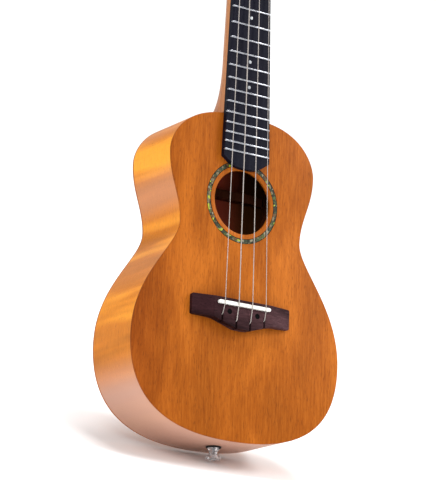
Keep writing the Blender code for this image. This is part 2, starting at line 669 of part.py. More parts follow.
def worm_button(name, side, s):
    """The worm on its shaft with the thumb button on its outer end; the origin is on the shaft's axis."""
    sides = 12
    flank = 0.16

    def radius(x, phi):
        """The right-hand thread's radius; its groove faces the wheel's tooth at rest."""
        fade = min(1.0, max(0.0, (THREAD_HALF - abs(x)) / 0.35))
        u = (x / LEAD - (phi - math.pi) / (2 * math.pi)) % 1.0        # 0 is a groove, 0.5 the ridge
        d = abs(u - 0.5)
        ridge = min(1.0, max(0.0, (0.285 - d) / flank))
        return 1.5 + (2.72 - 1.5) * ridge * fade

    xs = [-7.0, -6.6, -THREAD_HALF - 0.05]
    k = int(round(2 * THREAD_HALF / (LEAD / 6)))
    xs += [-THREAD_HALF + 2 * THREAD_HALF * i / k for i in range(k + 1)]
    xs += [THREAD_HALF + 0.05, 19.5]
    bm = bmesh.new()
    rings = []
    for x in xs:
        loop = []
        for j in range(sides):
            phi = 2 * math.pi * j / sides
            r = radius(x, phi) if abs(x) <= THREAD_HALF else (1.1 if x < -6.9 else 1.5)
            loop.append(bm.verts.new((x * MM, r * math.cos(phi) * MM, r * math.sin(phi) * MM)))
        rings.append(loop)
    for r0, r1 in zip(rings, rings[1:]):
        for j in range(sides):
            q = (j + 1) % sides
            bm.faces.new((r0[j], r0[q], r1[q], r1[j]))
    bm.faces.new(rings[0])
    bm.faces.new(list(reversed(rings[-1])))
    if side < 0:
        # the bass-side shaft points the other way: turned half round, which keeps the thread right-handed
        bmesh.ops.rotate(bm, verts=bm.verts, cent=(0, 0, 0), matrix=Matrix.Rotation(math.pi, 3, "Y"))
    bmesh.ops.recalc_face_normals(bm, faces=bm.faces)
    me = bpy.data.meshes.new(name)
    bm.to_mesh(me)
    bm.free()
    place = head_at(side * POST_X, s + CENTRES, GEAR_H)
    ob = link(name, me, PARTS, place)
    bm = bmesh.new()
    bmesh.ops.create_uvsphere(bm, u_segments=12, v_segments=8, radius=1.0)
    for v in bm.verts:
        x, y, z = v.co
        grip = 1.0 - 0.10 * max(0.0, 1 - abs(y) * 1.6)                # slightly waisted for the thumb
        v.co = Vector(((side * 23.5 + 5.5 * x) * MM, 8.0 * y * MM, 3.1 * z * grip * MM))
    me = bpy.data.meshes.new(name + "_knob")
    bm.to_mesh(me)
    bm.free()
    knob = link(name + "_knob", me, CUTTERS, place)
    boolean(ob, knob, "UNION")
    return finish(ob, BONE)


for k in NAMES:
    side, level = POSTS[k]
    tuner_plate("tuner_plate_" + k, side, POST_S[level])
    gear_post("tuner_post_" + k, side, POST_S[level])
    worm_button("tuner_button_" + k, side, POST_S[level])
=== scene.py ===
import math

import bmesh
import bpy
from mathutils import Matrix, Vector


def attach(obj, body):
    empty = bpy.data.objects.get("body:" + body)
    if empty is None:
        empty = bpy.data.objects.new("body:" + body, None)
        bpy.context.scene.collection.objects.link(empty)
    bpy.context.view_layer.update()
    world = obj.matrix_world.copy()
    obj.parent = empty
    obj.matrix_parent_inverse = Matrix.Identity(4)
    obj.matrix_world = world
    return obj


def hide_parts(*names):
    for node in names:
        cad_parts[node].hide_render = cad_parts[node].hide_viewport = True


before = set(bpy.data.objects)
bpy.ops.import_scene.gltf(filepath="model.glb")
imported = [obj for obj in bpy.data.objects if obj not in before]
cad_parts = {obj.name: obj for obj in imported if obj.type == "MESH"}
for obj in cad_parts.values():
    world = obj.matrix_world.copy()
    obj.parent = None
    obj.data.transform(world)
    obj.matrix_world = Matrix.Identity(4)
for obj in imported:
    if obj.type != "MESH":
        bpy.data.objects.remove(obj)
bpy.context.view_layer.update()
MM = 0.001

# ------------------------------------------------------------------ the body's outline, as in the CAD part
JOIN_Z = -381.0 * (1 - 2 ** (-14 / 12))
TAIL_Z = -505.0
HOLE_Z = -290.6
HEAD_TILT = math.radians(12.0)
HEAD = Matrix(((1, 0, 0, 0), (0, math.sin(HEAD_TILT), -math.cos(HEAD_TILT), -1.2 * MM),
               (0, math.cos(HEAD_TILT), math.sin(HEAD_TILT), 5.0 * MM), (0, 0, 0, 1)))


def bez(p0, p1, p2, p3, n):
    out = []
    for i in range(n):
        t = i / n
        u = 1 - t
        x = [u ** 3 * a + 3 * u * u * t * b + 3 * u * t * t * c + t ** 3 * d for a, b, c, d in zip(p0, p1, p2, p3)]
        d = [3 * u * u * (b - a) + 6 * u * t * (c - b) + 3 * t * t * (e - c) for a, b, c, e in zip(p0, p1, p2, p3)]
        k = math.hypot(*d)
        out.append((x[0], x[1], -d[1] / k, d[0] / k))
    return out


def half_outline(inset=0.0, k=3):
    j, u, w, lo, t = (14.0, JOIN_Z), (76.0, -255.0), (63.0, -318.0), (108.0, -424.5), (0.0, TAIL_Z)
    pts = [(0.0, JOIN_Z, 0.0, 1.0)]
    pts += bez(j, (j[0] + 47, j[1]), (u[0], u[1] + 15), u, 18 * k)
    pts += bez(u, (u[0], u[1] - 25.5), (w[0], w[1] + 23), w, 10 * k)
    pts += bez(w, (w[0], w[1] - 22), (lo[0], lo[1] + 53.5), lo, 15 * k)
    pts += bez(lo, (lo[0], lo[1] - 72), (t[0] + 45.5, t[1]), t, 25 * k)
    pts.append((0.0, TAIL_Z, 0.0, -1.0))
    return [(x - nx * inset, z - nz * inset) for x, z, nx, nz in pts]


def full_outline(inset=0.0, k=3):
    h = half_outline(inset, k)
    return h + [(-x, z) for x, z in reversed(h[1:-1])]


def ring(r, n, cx=0.0, cz=HOLE_Z):
    return [(cx + r * math.cos(2 * math.pi * i / n), cz + r * math.sin(2 * math.pi * i / n)) for i in range(n)]


# ------------------------------------------------------------------ node helpers
def new_mat(name, rough=0.5, metal=0.0, **sockets):
    m = bpy.data.materials.new(name)
    m.use_nodes = True
    nt = m.node_tree
    b = nt.nodes["Principled BSDF"]
    b.inputs["Roughness"].default_value = rough
    b.inputs["Metallic"].default_value = metal
    for k, v in sockets.items():
        b.inputs[k.replace("_", " ")].default_value = v
    return m, nt, b


def add(nt, kind, **props):
    n = nt.nodes.new(kind)
    for k, v in props.items():
        setattr(n, k, v)
    return n


def coords(nt, scale, rot=(0, 0, 0)):
    tc = add(nt, "ShaderNodeTexCoord")
    mp = add(nt, "ShaderNodeMapping")
    mp.inputs["Scale"].default_value = scale
    mp.inputs["Rotation"].default_value = rot
    nt.links.new(tc.outputs["Object"], mp.inputs["Vector"])
    return mp.outputs["Vector"]


def noise(nt, vec, scale=1.0, detail=4.0, rough=0.55, dist=0.0):
    n = add(nt, "ShaderNodeTexNoise")
    n.inputs["Scale"].default_value = scale
    n.inputs["Detail"].default_value = detail
    n.inputs["Roughness"].default_value = rough
    n.inputs["Distortion"].default_value = dist
    nt.links.new(vec, n.inputs["Vector"])
    return n.outputs["Fac"]


def ramp(nt, fac, stops, mode="LINEAR"):
    r = add(nt, "ShaderNodeValToRGB")
    r.color_ramp.interpolation = mode
    els = r.color_ramp.elements
    els[0].position, els[0].color = stops[0][0], (*stops[0][1], 1)
    els[1].position, els[1].color = stops[-1][0], (*stops[-1][1], 1)
    for p, c in stops[1:-1]:
        e = els.new(p)
        e.color = (*c, 1)
    nt.links.new(fac, r.inputs["Fac"])
    return r.outputs["Color"]


def mix(nt, a, b, fac, mode="MIX"):
    m = add(nt, "ShaderNodeMix", data_type="RGBA", blend_type=mode)
    if isinstance(fac, (int, float)):
        m.inputs["Factor"].default_value = fac
    else:
        nt.links.new(fac, m.inputs["Factor"])
    for sock, v in ((m.inputs["A"], a), (m.inputs["B"], b)):
        pass
    sa, sb = m.inputs[6], m.inputs[7]
    for s, v in ((sa, a), (sb, b)):
        if isinstance(v, tuple):
            s.default_value = (*v, 1)
        else:
            nt.links.new(v, s)
    return m.outputs[2]


def bump(nt, b, height, strength, dist):
    n = add(nt, "ShaderNodeBump")
    n.inputs["Strength"].default_value = strength
    n.inputs["Distance"].default_value = dist
    nt.links.new(height, n.inputs["Height"])
    nt.links.new(n.outputs["Normal"], b.inputs["Normal"])


def to_float(nt, col, lo, hi):
    m = add(nt, "ShaderNodeMapRange")
    m.inputs["To Min"].default_value = lo
    m.inputs["To Max"].default_value = hi
    nt.links.new(col, m.inputs["Value"])
    return m.outputs["Result"]


def wood(name, dark, mid, light, pore, rough=(0.34, 0.5), along="Z", ribbon=0.35, pores=0.55, coat=0.25, seed=0.0,
         broad_scale=(30, 6), painted_shade=None, painted_shade_range=(-0.045, -0.108, 0.62), painted_sheen=None, contrast=0.2, spec=0.10):
    """Open-pored mahogany: long grain lines, broad soft ribbons and short dark pores, all running along one axis."""
    m, nt, b = new_mat(name, 0.4, Coat_Weight=coat, Coat_Roughness=0.2, Specular_IOR_Level=spec)
    ax = {"Z": 2, "X": 0, "Y": 1}[along]

    def sc(fine, long_):
        s = [fine, fine, fine]
        s[ax] = long_
        return tuple(s)

    tc = add(nt, "ShaderNodeTexCoord")

    def vec(scale, off):
        mp = add(nt, "ShaderNodeMapping")
        mp.inputs["Scale"].default_value = scale
        mp.inputs["Location"].default_value = (off, off * 0.7, off * 0.3)
        nt.links.new(tc.outputs["Object"], mp.inputs["Vector"])
        return mp.outputs["Vector"]

    grain = noise(nt, vec(sc(560, 40), 3 + seed), 1.0, 5.0, 0.62, 0.2)
    broad = noise(nt, vec(sc(*broad_scale), 7 + seed), 1.0, 3.0, 0.5, 0.35)
    col = ramp(nt, grain, [(0.30, dark), (0.48, mid), (0.68, light)])
    rib = ramp(nt, broad, [(0.36, tuple(c * (0.94 - contrast) for c in mid)), (0.5, mid), (0.62, tuple(min(1, c * (1.05 + contrast)) for c in light))])
    col = mix(nt, col, rib, ribbon)
    pn = noise(nt, vec(sc(1700, 190), 11 + seed), 1.0, 2.0, 0.5)
    pmask = ramp(nt, pn, [(0.57, (0, 0, 0)), (0.68, (1, 1, 1))])
    pm = add(nt, "ShaderNodeMath", operation="MULTIPLY")
    nt.links.new(pmask, pm.inputs[0])
    pm.inputs[1].default_value = pores
    col = mix(nt, col, pore, pm.outputs[0])
    if painted_shade:
        # painted shade: the colour is multiplied darker and redder towards the bass side (-x), standing in for the key
        # light falling off from the right
        sx = add(nt, "ShaderNodeSeparateXYZ")
        nt.links.new(tc.outputs["Object"], sx.inputs[0])
        r1 = add(nt, "ShaderNodeMapRange", interpolation_type="SMOOTHSTEP")
        nt.links.new(sx.outputs["X"], r1.inputs["Value"])
        for k, v in (("From Min", painted_shade_range[0]), ("From Max", painted_shade_range[1]), ("To Min", 0.0), ("To Max", painted_shade_range[2])):
            r1.inputs[k].default_value = v
        col = mix(nt, col, painted_shade, r1.outputs["Result"], "MULTIPLY")
    if painted_sheen:
        # painted reflection: the colour turns paler where the side curves round to face down or up, standing in for the
        # pale floor and sky mirrored in the lacquer
        sx = add(nt, "ShaderNodeSeparateXYZ")
        nt.links.new(tc.outputs["Normal"], sx.inputs[0])
        lo = add(nt, "ShaderNodeMapRange", interpolation_type="SMOOTHSTEP")
        nt.links.new(sx.outputs["Z"], lo.inputs["Value"])
        for k, v in (("From Min", -0.08), ("From Max", -0.62), ("To Min", 0.0), ("To Max", 0.9)):
            lo.inputs[k].default_value = v
        hi = add(nt, "ShaderNodeMapRange", interpolation_type="SMOOTHSTEP")
        nt.links.new(sx.outputs["Z"], hi.inputs["Value"])
        for k, v in (("From Min", 0.30), ("From Max", 0.85), ("To Min", 0.0), ("To Max", 0.3)):
            hi.inputs[k].default_value = v
        both = add(nt, "ShaderNodeMath", operation="ADD")
        nt.links.new(lo.outputs["Result"], both.inputs[0])
        nt.links.new(hi.outputs["Result"], both.inputs[1])
        col = mix(nt, col, painted_sheen, both.outputs[0])
    # unfinished wood inside the body, with painted light and shade: faces marked 'inner' turn a lit red-brown on the -x
    # side, where the key shines in through the soundhole, and a near-black painted shade on the +x side
    at = add(nt, "ShaderNodeAttribute", attribute_name="inner")
    dk = add(nt, "ShaderNodeMath", operation="MULTIPLY")
    nt.links.new(at.outputs["Fac"], dk.inputs[0])
    dk.inputs[1].default_value = 0.9
    si = add(nt, "ShaderNodeSeparateXYZ")
    nt.links.new(tc.outputs["Object"], si.inputs[0])
    ri = add(nt, "ShaderNodeMapRange", interpolation_type="SMOOTHSTEP")
    nt.links.new(si.outputs["X"], ri.inputs["Value"])
    for k, v in (("From Min", 0.004), ("From Max", 0.046)):
        ri.inputs[k].default_value = v
    col = mix(nt, col, mix(nt, (0.60, 0.095, 0.060), (0.008, 0.003, 0.002), ri.outputs["Result"]), dk.outputs[0])
    nt.links.new(col, b.inputs["Base Color"])
    nt.links.new(to_float(nt, grain, rough[1], rough[0]), b.inputs["Roughness"])
    inv = add(nt, "ShaderNodeMath", operation="SUBTRACT")
    inv.inputs[0].default_value = 1.0
    nt.links.new(pmask, inv.inputs[1])
    bump(nt, b, inv.outputs[0], 0.25, 0.00012)
    return m


def speckled(name, a, b_, scale, rough=(0.3, 0.45), metal=0.0, bumpy=0.0, **kw):
    """A nearly even material with fine variation in colour and gloss."""
    m, nt, b = new_mat(name, 0.3, metal, **kw)
    n = noise(nt, coords(nt, (scale, scale, scale)), 1.0, 4.0)
    nt.links.new(ramp(nt, n, [(0.3, a), (0.7, b_)]), b.inputs["Base Color"])
    nt.links.new(to_float(nt, n, rough[0], rough[1]), b.inputs["Roughness"])
    if bumpy:
        bump(nt, b, n, bumpy, 0.0002)
    return m


# the top gets painted shade, darker and redder towards its bass edge
TOP = wood("top_wood", (0.220, 0.046, 0.0035), (0.325, 0.081, 0.0060), (0.45, 0.128, 0.0130), (0.10, 0.020, 0.003), rough=(0.42, 0.55), coat=0.02, ribbon=0.45, pores=0.42, seed=0.0, spec=0.05,
           broad_scale=(22, 7), painted_shade=(0.55, 0.38, 0.34))
# the sides get a painted reflection, paler where they face down or up
SIDE = wood("side_wood", (0.44, 0.112, 0.008), (0.63, 0.195, 0.012), (0.82, 0.305, 0.024), (0.18, 0.04, 0.006), ribbon=0.85, pores=0.3, coat=0.06, seed=4.0,
            broad_scale=(3, 34), painted_sheen=(0.53, 0.315, 0.245), contrast=0.26, spec=0.07)
BACK = wood("back_wood", (0.25, 0.062, 0.006), (0.38, 0.105, 0.009), (0.52, 0.165, 0.018), (0.13, 0.030, 0.004), rough=(0.36, 0.5), coat=0.06, ribbon=0.5,
            seed=13.0, spec=0.07, broad_scale=(26, 5))
NECK = wood("neck_wood", (0.30, 0.10, 0.03), (0.42, 0.16, 0.05), (0.52, 0.22, 0.08), (0.12, 0.04, 0.02), seed=9.0)
INSIDE = wood("inside_wood", (0.06, 0.016, 0.008), (0.09, 0.025, 0.012), (0.12, 0.038, 0.018), (0.04, 0.012, 0.006), ribbon=0.3, pores=0.2, coat=0.0, seed=2.0)
# the bridge gets painted shade, darker on its bass-side wing, where the light from the right falls off
ROSE = wood("rosewood", (0.010, 0.0035, 0.004), (0.027, 0.011, 0.0125), (0.095, 0.045, 0.050), (0.004, 0.002, 0.002), along="X", ribbon=0.6, coat=0.0, seed=5.0, spec=0.03,
            painted_shade=(0.30, 0.22, 0.24), painted_shade_range=(0.042, -0.040, 0.92))
ROSEZ = wood("rosewood_face", (0.020, 0.008, 0.010), (0.050, 0.022, 0.026), (0.105, 0.050, 0.052), (0.006, 0.003, 0.004), along="Z", ribbon=0.5, coat=0.15, seed=6.0)
BOARD = wood("board_wood", (0.003, 0.003, 0.008), (0.005, 0.005, 0.012), (0.010, 0.010, 0.020), (0.001, 0.001, 0.002), rough=(0.40, 0.55), ribbon=0.4, coat=0.0, seed=1.0, spec=0.06)
BONE = speckled("bone", (0.84, 0.82, 0.76), (0.93, 0.92, 0.88), 160, (0.22, 0.34))
BUTTON = speckled("pearl_plastic", (0.80, 0.77, 0.70), (0.93, 0.91, 0.86), 220, (0.15, 0.25), Coat_Weight=0.4)
NICKEL = speckled("fret_metal", (0.36, 0.37, 0.41), (0.50, 0.51, 0.55), 900, (0.22, 0.34), 1.0)
CHROME = speckled("chrome_plate", (0.40, 0.40, 0.43), (0.52, 0.52, 0.55), 300, (0.16, 0.28), 1.0)
NYLON = speckled("clear_nylon", (0.55, 0.49, 0.45), (0.62, 0.56, 0.52), 60, (0.22, 0.32), Transmission_Weight=0.4, Specular_IOR_Level=0.3)
BLACK = speckled("black_plastic", (0.0015, 0.0015, 0.0015), (0.004, 0.004, 0.004), 600, (0.55, 0.75), Specular_IOR_Level=0.03)
FELT = speckled("black_felt", (0.004, 0.003, 0.003), (0.018, 0.015, 0.015), 2500, (0.9, 1.0), bumpy=0.6)
CLEAR = speckled("clear_acrylic", (0.90, 0.90, 0.93), (0.97, 0.97, 0.98), 120, (0.03, 0.08), Transmission_Weight=0.85, IOR=1.49)
PEARL = speckled("pearl_dot", (0.26, 0.28, 0.30), (0.50, 0.52, 0.54), 500, (0.15, 0.25), Coat_Weight=0.3)


def mosaic(name):
    """Shell mosaic: small facets of green, grey and tan with a few bright yellow-green ones."""
    m, nt, b = new_mat(name, 0.4, Coat_Weight=0.08, Coat_Roughness=0.2, Specular_IOR_Level=0.15)
    vec = coords(nt, (1, 1, 1))
    v = add(nt, "ShaderNodeTexVoronoi", feature="F1")
    v.inputs["Scale"].default_value = 430
    nt.links.new(vec, v.inputs["Vector"])
    sep = add(nt, "ShaderNodeSeparateColor")
    nt.links.new(v.outputs["Color"], sep.inputs[0])
    col = ramp(nt, sep.outputs[0], [(0.0, (0.006, 0.008, 0.005)), (0.24, (0.030, 0.048, 0.020)), (0.38, (0.17, 0.135, 0.075)),
                                    (0.52, (0.11, 0.050, 0.018)), (0.64, (0.055, 0.090, 0.020)), (0.74, (0.26, 0.235, 0.155)),
                                    (0.84, (0.018, 0.030, 0.018)), (0.92, (0.38, 0.44, 0.03))], "CONSTANT")
    sw = noise(nt, coords(nt, (700, 700, 700)), 1.0, 3.0)
    col = mix(nt, col, (0.13, 0.12, 0.05), to_float(nt, sw, 0.0, 0.25))
    e = add(nt, "ShaderNodeTexVoronoi", feature="DISTANCE_TO_EDGE")
    e.inputs["Scale"].default_value = 430
    nt.links.new(vec, e.inputs["Vector"])
    line = ramp(nt, e.outputs["Distance"], [(0.02, (1, 1, 1)), (0.07, (0, 0, 0))])
    lf = add(nt, "ShaderNodeMath", operation="MULTIPLY")
    nt.links.new(line, lf.inputs[0])
    lf.inputs[1].default_value = 0.8
    col = mix(nt, col, (0.010, 0.012, 0.010), lf.outputs[0])
    nt.links.new(col, b.inputs["Base Color"])
    return m


SHELL = mosaic("shell_mosaic")


def knob_and_shaft(name):
    """Plated worm shaft with a pearl plastic thumb button on its outer end."""
    m, nt, b = new_mat(name, 0.2, 1.0)
    tc = add(nt, "ShaderNodeTexCoord")
    sx = add(nt, "ShaderNodeSeparateXYZ")
    nt.links.new(tc.outputs["Object"], sx.inputs[0])
    ab = add(nt, "ShaderNodeMath", operation="ABSOLUTE")
    nt.links.new(sx.outputs["X"], ab.inputs[0])
    gt = add(nt, "ShaderNodeMath", operation="GREATER_THAN")
    nt.links.new(ab.outputs[0], gt.inputs[0])
    gt.inputs[1].default_value = 0.0332
    n1 = noise(nt, coords(nt, (240, 240, 240)), 1.0, 4.0)
    metal = ramp(nt, n1, [(0.3, (0.40, 0.40, 0.43)), (0.7, (0.52, 0.52, 0.55))])
    pearl = ramp(nt, n1, [(0.3, (0.50, 0.42, 0.30)), (0.7, (0.66, 0.58, 0.44))])
    nt.links.new(mix(nt, metal, pearl, gt.outputs[0]), b.inputs["Base Color"])
    inv = add(nt, "ShaderNodeMath", operation="SUBTRACT")
    inv.inputs[0].default_value = 1.0
    nt.links.new(gt.outputs[0], inv.inputs[1])
    nt.links.new(inv.outputs[0], b.inputs["Metallic"])
    nt.links.new(to_float(nt, n1, 0.16, 0.28), b.inputs["Roughness"])
    return m


KNOB = knob_and_shaft("knob_and_shaft")

# ------------------------------------------------------------------ materials on the carried-over CAD nodes
by_prefix = (("soundboard", TOP), ("back_plate", BACK), ("side_", SIDE), ("neck_block", NECK), ("tail_block", NECK), ("neck", NECK),
             ("lining", INSIDE), ("top_brace", INSIDE), ("back_brace", INSIDE), ("bridge_plate", INSIDE), ("rosette", SHELL),
             ("bridge_bolt", BLACK), ("bridge", ROSE), ("headstock_veneer", ROSEZ), ("fretboard", BOARD), ("fret_", NICKEL),
             ("nut", BONE), ("saddle", BONE), ("string_", NYLON), ("strap_washer", FELT), ("strap_button", CLEAR),
             ("tuner_plate", CHROME), ("tuner_post", CHROME), ("tuner_button", KNOB))
for name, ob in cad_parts.items():
    for pre, mat in by_prefix:
        if name.startswith(pre):
            ob.data.materials.clear()
            ob.data.materials.append(mat)
            break


# ------------------------------------------------------------------ piece helpers
def piece(name, me, mat, body="root", smooth=40, replaces=()):
    ob = bpy.data.objects.new(name, me)
    bpy.context.scene.collection.objects.link(ob)
    me.materials.clear()
    me.materials.append(mat)
    me.shade_smooth()
    me.set_sharp_from_angle(angle=math.radians(smooth))
    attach(ob, body)
    if replaces:
        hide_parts(*replaces)
    return ob


def bm_mesh(bm, name):
    bmesh.ops.recalc_face_normals(bm, faces=bm.faces)
    me = bpy.data.meshes.new(name)
    bm.to_mesh(me)
    bm.free()
    return me


def lathe(profile, n, matrix, name):
    """A profile of (radius, height) turned about local z, closed on itself unless it starts on the axis."""
    bm = bmesh.new()
    rings = []
    for r, h in profile:
        if r <= 1e-6:
            rings.append([bm.verts.new(matrix @ Vector((0, 0, h * MM)))])
        else:
            rings.append([bm.verts.new(matrix @ Vector((r * math.cos(2 * math.pi * i / n) * MM, r * math.sin(2 * math.pi * i / n) * MM, h * MM)))
                          for i in range(n)])
    pairs = list(zip(rings, rings[1:]))
    if profile[0][0] > 1e-6:
        pairs.append((rings[-1], rings[0]))
    for a, b in pairs:
        for i in range(n):
            k = (i + 1) % n
            if len(a) == 1:
                bm.faces.new((a[0], b[i], b[k]))
            elif len(b) == 1:
                bm.faces.new((a[i], b[0], a[k]))
            else:
                bm.faces.new((a[i], a[k], b[k], b[i]))
    return bm_mesh(bm, name)


def rounded_plate(name, loops, y_out, y_in, r):
    """A flat plate between two Y planes with its outer rim rounded by r on the y_out side; loops are (outline, is_hole)."""
    # each loop is a function of the inset, giving points; the rim is built from a few insets
    bm = bmesh.new()
    sgn = 1 if y_in > y_out else -1
    fronts, backs = [], []
    for fn in loops:
        rings = []
        for k in range(5):
            a = k / 4 * math.pi / 2
            ins = r * (1 - math.sin(a))
            y = y_out + sgn * r * (1 - math.cos(a))
            rings.append([bm.verts.new((x * MM, y * MM, z * MM)) for x, z in fn(ins)])
        rings.append([bm.verts.new((x * MM, y_in * MM, z * MM)) for x, z in fn(0.0)])
        for a, b in zip(rings, rings[1:]):
            n = len(a)
            for i in range(n):
                q = (i + 1) % n
                bm.faces.new((a[i], a[q], b[q], b[i]))
        fronts.append(rings[0])
        backs.append(rings[-1])
    for group in (fronts, backs):
        es = []
        for rg in group:
            for i in range(len(rg)):
                es.append(bm.edges.get((rg[i], rg[(i + 1) % len(rg)])))
        bmesh.ops.triangle_fill(bm, use_beauty=True, use_dissolve=False, edges=es)
    return bm_mesh(bm, name)


def mark_inner(me, test, amount=1.0):
    """Give the faces that look into the body an attribute of 1, for the unfinished wood there, with painted light and
    shade inside the cavity.
    """
    a = me.attributes.new("inner", "FLOAT", "FACE")
    a.data.foreach_set("value", [amount if test(p.center / MM, p.normal) else 0.0 for p in me.polygons])
    return me


def grooved_top():
    """The top: rounded rim, soundhole with an eased edge, and the rosette's groove."""
    bm = bmesh.new()

    def loop(pts, y):
        return [bm.verts.new((x * MM, y * MM, z * MM)) for x, z in pts]

    def skin(a, b):
        n = len(a)
        for i in range(n):
            q = (i + 1) % n
            bm.faces.new((a[i], a[q], b[q], b[i]))

    def fill(*rings):
        es = [bm.edges.get((rg[i], rg[(i + 1) % len(rg)])) for rg in rings for i in range(len(rg))]
        bmesh.ops.triangle_fill(bm, use_beauty=True, use_dissolve=False, edges=es)

    r, n = 0.7, 160
    rim = []
    for k in range(6):
        a = k / 5 * math.pi / 2
        rim.append(loop(full_outline(r * (1 - math.sin(a))), r * (1 - math.cos(a))))
    rim.append(loop(full_outline(0.0), 2.0))
    for a, b in zip(rim, rim[1:]):
        skin(a, b)
    walls = [loop(ring(37.52, n), 0.0), loop(ring(37.52, n), 1.4), loop(ring(33.08, n), 1.4), loop(ring(33.08, n), 0.0),
             loop(ring(29.4, n), 0.0), loop(ring(29.12, n), 0.12), loop(ring(29.0, n), 0.4), loop(ring(29.0, n), 2.0)]
    for a, b in zip(walls, walls[1:]):
        skin(a, b)
    fill(rim[0], walls[0])
    fill(rim[-1], walls[-1])
    return bm_mesh(bm, "top")


# ------------------------------------------------------------------ the body's shell with fine curves
me = mark_inner(grooved_top(), lambda c, n: n.y > 0.9 and c.y > 1.9)
piece("soundboard_fine", me, TOP, replaces=("soundboard",), smooth=50)
me = mark_inner(rounded_plate("back", [lambda i: full_outline(i)], 65.0, 63.0, 0.7), lambda c, n: n.y < -0.9, 1.0)
piece("back_plate_fine", me, BACK, replaces=("back_plate",), smooth=50)
for word, s in (("bass", -1), ("treble", 1)):
    outer, inner = half_outline(0.0), half_outline(2.0)
    bm = bmesh.new()
    loops = []
    for pts, y in ((outer, 2.05), (outer, 62.95), (inner, 62.95), (inner, 2.05)):
        loops.append([bm.verts.new((s * max(x, 0.1) * MM, y * MM, z * MM)) for x, z in pts])
    for a, b in zip(loops, loops[1:] + loops[:1]):
        for i in range(len(a) - 1):
            bm.faces.new((a[i], a[i + 1], b[i + 1], b[i]))
    bm.faces.new([l[0] for l in loops])
    bm.faces.new([l[-1] for l in loops])
    sme = bm_mesh(bm, "side_" + word)
    k_in = len(outer) - 1
    # the side's inner faces take the cavity's painted light and shade through the 'inner' attribute
    a = sme.attributes.new("inner", "FLOAT", "FACE")
    a.data.foreach_set("value", [1.0 if 2 * k_in <= p.index < 3 * k_in else 0.0 for p in sme.polygons])
    piece("side_%s_fine" % word, sme, SIDE, replaces=("side_" + word,), smooth=40)

# the rosette: a ring of shell between two dark lines, let into the top's groove
def flat_ring(r0, r1, y0, y1, n=160):
    bm = bmesh.new()
    rings = [[bm.verts.new((x * MM, y * MM, z * MM)) for x, z in ring(r, n)] for r, y in ((r0, y0), (r1, y0), (r1, y1), (r0, y1))]
    for a, b in zip(rings, rings[1:] + rings[:1]):
        for i in range(n):
            bm.faces.new((a[i], a[(i + 1) % n], b[(i + 1) % n], b[i]))
    return bm_mesh(bm, "ring")


piece("rosette_fine", flat_ring(33.58, 37.02, -0.01, 1.2), SHELL, replaces=("rosette",))
piece("rosette_line_inner", flat_ring(33.1, 33.56, -0.02, 1.2), BLACK)
piece("rosette_line_outer", flat_ring(37.04, 37.5, -0.02, 1.2), BLACK)

# position dots at frets 5, 7, 10 and 12
def fret_z(n):
    return -381.0 * (1 - 2 ** (-n / 12))


for n in (5, 7, 10, 12):
    z = (fret_z(n) + fret_z(n - 1)) / 2
    place = Matrix.Translation((0, -4.9 * MM, z * MM)) @ Matrix.Rotation(math.radians(90), 4, "X")
    me = lathe([(0, 0.04), (1.35, 0.04), (1.5, 0.0), (1.5, -0.4), (0, -0.4)], 32, place, "dot")
    piece("dot_%02d" % n, me, PEARL)

# frets with a narrow round crown and bevelled ends
def board_half(z):
    return 17.25 - 0.0272 * z


FRET_TOP, BOARD_TOP = -5.99, -4.88
for n in range(1, 19):
    z, half = fret_z(n), board_half(fret_z(n)) - 0.15
    bm = bmesh.new()
    rows = []
    prof = []
    for i in range(9):
        a = math.pi * i / 8
        prof.append((0.85 * math.cos(a), BOARD_TOP - (BOARD_TOP - FRET_TOP) * math.sin(a) ** 0.8))
    prof += [(-0.85, BOARD_TOP + 0.02), (0.85, BOARD_TOP + 0.02)]
    cols = [(-half, 0.0), (-half + 0.45, 0.72), (-half + 0.9, 1.0), (0.0, 1.0), (half - 0.9, 1.0), (half - 0.45, 0.72), (half, 0.0)]
    for x, up_ in cols:
        rows.append([bm.verts.new((x * MM, (BOARD_TOP + (y - BOARD_TOP) * max(up_, 0.12)) * MM, (z + dz) * MM)) for dz, y in prof])
    for a, b in zip(rows, rows[1:]):
        for i in range(len(a)):
            q = (i + 1) % len(a)
            bm.faces.new((a[i], a[q], b[q], b[i]))
    bm.faces.new(rows[0])
    bm.faces.new(rows[-1])
    piece("fret_%02d_fine" % n, bm_mesh(bm, "fret"), NICKEL, replaces=("fret_%02d" % n,), smooth=50)

# the fretboard's slots are filled by the frets' tangs
for n in range(1, 19):
    z, half = fret_z(n), board_half(fret_z(n)) - 0.05
    bm = bmesh.new()
    verts = [[bm.verts.new((x * MM, y * MM, zz * MM)) for y, zz in ((-4.88, z - 0.34), (-4.88, z + 0.34), (-3.6, z + 0.34), (-3.6, z - 0.34))]
             for x in (-half, 0.0, half)]
    for a, b in zip(verts, verts[1:]):
        for i in range(4):
            bm.faces.new((a[i], a[(i + 1) % 4], b[(i + 1) % 4], b[i]))
    bm.faces.new(verts[0])
    bm.faces.new(verts[-1])
    piece("fret_tang_%02d" % n, bm_mesh(bm, "tang"), NICKEL, smooth=30)

# the strap button's screw
at = Matrix.Translation((0, 32.5 * MM, TAIL_Z * MM)) @ Matrix.Rotation(math.pi, 4, "X")
me = lathe([(0, 9.2), (0.9, 9.1), (1.7, 8.7), (2.1, 8.1), (2.1, 7.8), (1.25, 7.6), (1.25, 0.4), (0, 0.4)], 28, at, "screw")
SCREW = speckled("screw_steel", (0.10, 0.10, 0.11), (0.22, 0.22, 0.24), 700, (0.25, 0.4), 1.0)
piece("strap_screw", me, SCREW)
